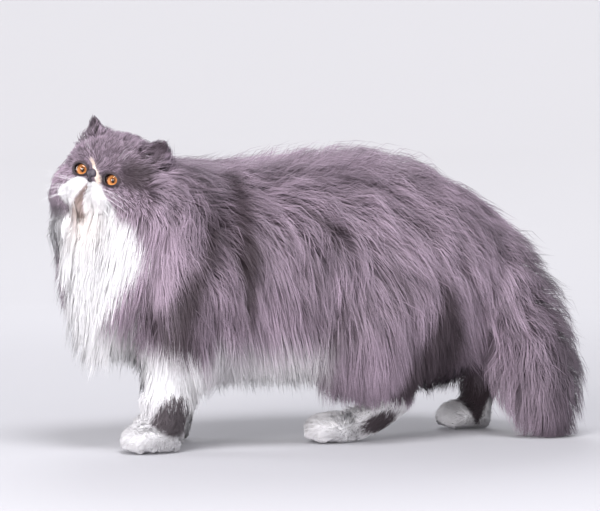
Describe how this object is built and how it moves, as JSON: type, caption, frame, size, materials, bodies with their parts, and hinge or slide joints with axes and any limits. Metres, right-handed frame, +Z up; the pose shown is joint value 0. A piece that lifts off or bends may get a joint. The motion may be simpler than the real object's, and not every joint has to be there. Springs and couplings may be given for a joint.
{
  "type": "persian cat",
  "caption": "Life-size still model of a standing long-haired Persian cat in blue-grey and white, with a flat face, a full ruff and a thick hanging tail.",
  "frame": {"origin": "on the floor, under the middle of the coat's bounding box", "axes": "+X towards the tail, so the cat's chest faces -X; +Y towards its right side; +Z up"},
  "size_m": [0.5842, 0.24, 0.3486],
  "materials": {
    "blue_coat": "long soft blue-grey fur with a lilac cast, darker at the roots",
    "white_coat": "soft white fur",
    "eye": "wet clear cornea over a copper iris",
    "nose": "fine-grained slate-coloured nose leather"
  },
  "bodies": {
    "root": {"head": "blue_coat", "muzzle": "white_coat", "nose": "nose", "eye_left": "eye", "eye_right": "eye", "ear_left": "blue_coat", "ear_right": "blue_coat", "neck": "blue_coat", "chest": "white_coat", "trunk": "blue_coat", "rump": "blue_coat", "tail_base": "blue_coat", "tail_middle": "blue_coat", "tail_tip": "blue_coat", "foreleg_left": "white_coat", "forepaw_left": "white_coat", "foreleg_right": "white_coat", "forepaw_right": "white_coat", "thigh_left": "blue_coat", "hindleg_left": "white_coat", "hindpaw_left": "white_coat", "thigh_right": "blue_coat", "hindleg_right": "white_coat", "hindpaw_right": "white_coat"}
  },
  "joints": []
}
